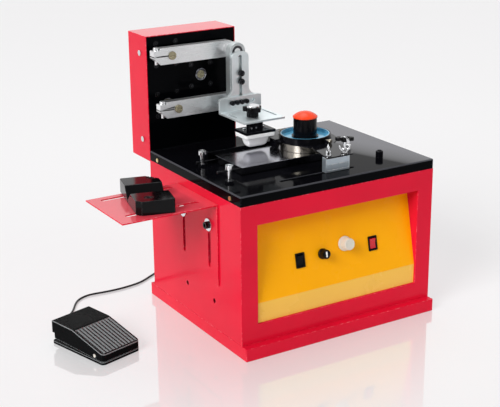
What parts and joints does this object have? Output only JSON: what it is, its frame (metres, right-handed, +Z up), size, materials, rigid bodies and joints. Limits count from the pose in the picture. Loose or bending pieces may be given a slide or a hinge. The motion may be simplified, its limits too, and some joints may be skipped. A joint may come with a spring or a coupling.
{
  "type": "pad printing machine",
  "caption": "Bench pad printing machine: red cabinet with a black top, a swinging pad head on a parallel arm pair, a sliding ink cup, a side shelf with a V fixture and a foot pedal.",
  "frame": {"origin": "middle of the cabinet's base, on the floor", "axes": "+X to the right as seen from the front, +Y to the back, +Z up"},
  "size_m": [0.5178, 0.3564, 0.3983],
  "materials": {
    "red_enamel": "gloss",
    "orange_enamel": "satin",
    "black_enamel": "gloss",
    "ground_steel": "ground",
    "bright_steel": "satin",
    "dark_steel": "black oxide",
    "arm_aluminium": "satin",
    "brass": "satin",
    "black_plastic": "gloss",
    "dark_plastic": "matte",
    "white_plastic": "gloss",
    "red_plastic": "gloss",
    "orange_plastic": "gloss",
    "blue_dish": "satin",
    "pad_rubber": "matte",
    "cable_rubber": "matte",
    "board_green": "matte"
  },
  "bodies": {
    "cabinet": {"base_tray": "red_enamel", "cabinet_shell": "red_enamel", "control_panel": "orange_enamel", "switch_bezels": "black_plastic", "lid": "black_enamel", "lid_collars": "black_enamel", "plate_fence": "black_enamel", "plate_clamps": "bright_steel", "printing_plate": "ground_steel", "skirt_screws": "brass", "face_plate": "black_enamel", "column_housing": "red_enamel", "column_screws": "bright_steel", "bearing_housings": "arm_aluminium", "shaft_bushes": "brass", "gearmotors": "bright_steel", "guide_rods": "bright_steel", "inner_brackets": "bright_steel", "electrics": "board_green", "power_inlet": "black_plastic", "cord_glands": "black_plastic", "shelf_bolts": "bright_steel", "pedal_base": "dark_plastic", "pedal_fittings": "white_plastic", "pedal_cord": "cable_rubber", "cord_coil": "cable_rubber"},
    "upper_arm": {"upper_arm": "arm_aluminium", "upper_arm_shaft": "bright_steel"},
    "lower_arm": {"lower_arm": "arm_aluminium", "lower_arm_shaft": "bright_steel"},
    "drive_gear": {"drive_gear": "bright_steel"},
    "motor_pinion": {"motor_pinion": "bright_steel"},
    "head": {"coupler": "arm_aluminium", "coupler_bearings": "bright_steel", "slide_screws": "dark_steel"},
    "head_slide": {"slotted_plate": "bright_steel", "bracket_screws": "dark_steel"},
    "bracket": {"angle_bracket": "bright_steel"},
    "pad_holder": {"pad_block": "black_enamel", "print_pad": "pad_rubber", "pad_fasteners": "bright_steel"},
    "star_knob": {"star_knob": "black_plastic", "star_knob_cap": "bright_steel"},
    "cup_slide": {"cup_carriage": "bright_steel", "carriage_post": "bright_steel", "cup_carrier": "black_enamel", "carriage_nuts": "bright_steel"},
    "ink_cup": {"cup_ring": "bright_steel", "cup_body": "black_plastic", "cup_dish": "blue_dish", "cup_cap": "orange_plastic"},
    "tension_knob": {"tension_knob": "black_plastic"},
    "cup_pinion": {"cup_pinion": "bright_steel"},
    "shelf": {"shelf_bracket": "red_enamel"},
    "jig": {"jig_blocks": "dark_plastic"},
    "black_knob": {"knob_black": "black_plastic"},
    "white_knob": {"knob_white": "white_plastic"},
    "black_rocker": {"rocker_black": "black_plastic"},
    "red_rocker": {"rocker_red": "red_plastic"},
    "pedal": {"pedal_cover": "dark_plastic"}
  },
  "joints": [
    {"name": "arm_swing", "type": "hinge", "parent": "cabinet", "child": "upper_arm", "pos_m": [-0.128, 0.11565, 0.3707], "axis": [0, -1, 0], "range_deg": [-2, 183]},
    {"name": "lower_arm_swing", "type": "hinge", "parent": "cabinet", "child": "lower_arm", "pos_m": [-0.128, 0.10065, 0.296], "axis": [0, -1, 0], "range_deg": [-2.1, 183.1]},
    {"name": "drive_gear_turn", "type": "hinge", "parent": "cabinet", "child": "drive_gear", "pos_m": [-0.07178, 0.14915, 0.33335], "axis": [0, -1, 0], "range_deg": [-91.6, 1.1]},
    {"name": "motor_pinion_turn", "type": "hinge", "parent": "cabinet", "child": "motor_pinion", "pos_m": [-0.07178, 0.14915, 0.27335], "axis": [0, -1, 0], "range_deg": [-3.1, 274.6]},
    {"name": "head_level", "type": "hinge", "parent": "upper_arm", "child": "head", "pos_m": [-0.036, 0.08835, 0.3707], "axis": [0, -1, 0], "range_deg": [-183.1, 2.1]},
    {"name": "head_height", "type": "slide", "parent": "head", "child": "head_slide", "axis": [0, 0, 1], "range_m": [-0.002, 0.014]},
    {"name": "bracket_shift", "type": "slide", "parent": "head_slide", "child": "bracket", "axis": [1, 0, 0], "range_m": [-0.012, 0.0015]},
    {"name": "pad_shift", "type": "slide", "parent": "bracket", "child": "pad_holder", "axis": [0, 1, 0], "range_m": [-0.01, 0.012]},
    {"name": "star_knob_turn", "type": "hinge", "parent": "pad_holder", "child": "star_knob", "pos_m": [-0.0435, 0.03, 0.2933], "axis": [0, 0, 1], "range_deg": [-90, 270]},
    {"name": "cup_slide_travel", "type": "slide", "parent": "cabinet", "child": "cup_slide", "axis": [1, 0, 0], "range_m": [-0.0702, 0.0009]},
    {"name": "cup_lift", "type": "slide", "parent": "cup_slide", "child": "ink_cup", "axis": [0, 0, 1], "range_m": [0, 0.018]},
    {"name": "tension_knob_turn", "type": "hinge", "parent": "cup_slide", "child": "tension_knob", "pos_m": [0.0256, -0.0987, 0.2725], "axis": [0, 0, 1], "range_deg": [-90, 270]},
    {"name": "cup_pinion_turn", "type": "hinge", "parent": "cabinet", "child": "cup_pinion", "pos_m": [-0.001, -0.0614, 0.2075], "axis": [0, 0, 1], "range_deg": [-334.8, 4]},
    {"name": "shelf_height", "type": "slide", "parent": "cabinet", "child": "shelf", "axis": [0, 0, -1], "range_m": [-0.058, 0.003]},
    {"name": "jig_shift", "type": "slide", "parent": "shelf", "child": "jig", "axis": [1, 0, 0], "range_m": [-0.03, 0.024]},
    {"name": "black_knob_turn", "type": "hinge", "parent": "cabinet", "child": "black_knob", "pos_m": [-0.022, -0.1161, 0.12001], "axis": [0, -0.9787, 0.2053], "range_deg": [-150, 150]},
    {"name": "white_knob_turn", "type": "hinge", "parent": "cabinet", "child": "white_knob", "pos_m": [0.016, -0.11464, 0.12696], "axis": [0, -0.9787, 0.2053], "range_deg": [-150, 150]},
    {"name": "black_rocker_tip", "type": "hinge", "parent": "cabinet", "child": "black_rocker", "pos_m": [-0.059, -0.11505, 0.11774], "axis": [1, 0, 0], "range_deg": [-14, 0]},
    {"name": "red_rocker_tip", "type": "hinge", "parent": "cabinet", "child": "red_rocker", "pos_m": [0.064, -0.11505, 0.11774], "axis": [1, 0, 0], "range_deg": [-14, 0]},
    {"name": "pedal_press", "type": "hinge", "parent": "cabinet", "child": "pedal", "pos_m": [-0.33201, -0.03031, 0.01], "axis": [-0.9641, -0.2656, 0], "range_deg": [0, 3], "stiffness_Nm_per_rad": 1.5, "springref_deg": -11.46}
  ],
  "couplings": [
    {"joint": "lower_arm_swing", "follows": "arm_swing", "ratio": 1},
    {"joint": "drive_gear_turn", "follows": "arm_swing", "ratio": -0.5},
    {"joint": "motor_pinion_turn", "follows": "arm_swing", "ratio": 1.5},
    {"joint": "head_level", "follows": "arm_swing", "ratio": -1},
    {"joint": "cup_slide_travel", "follows": "arm_swing", "m_per_rad": -0.021916},
    {"joint": "cup_pinion_turn", "follows": "arm_swing", "ratio": -1.8263}
  ]
}
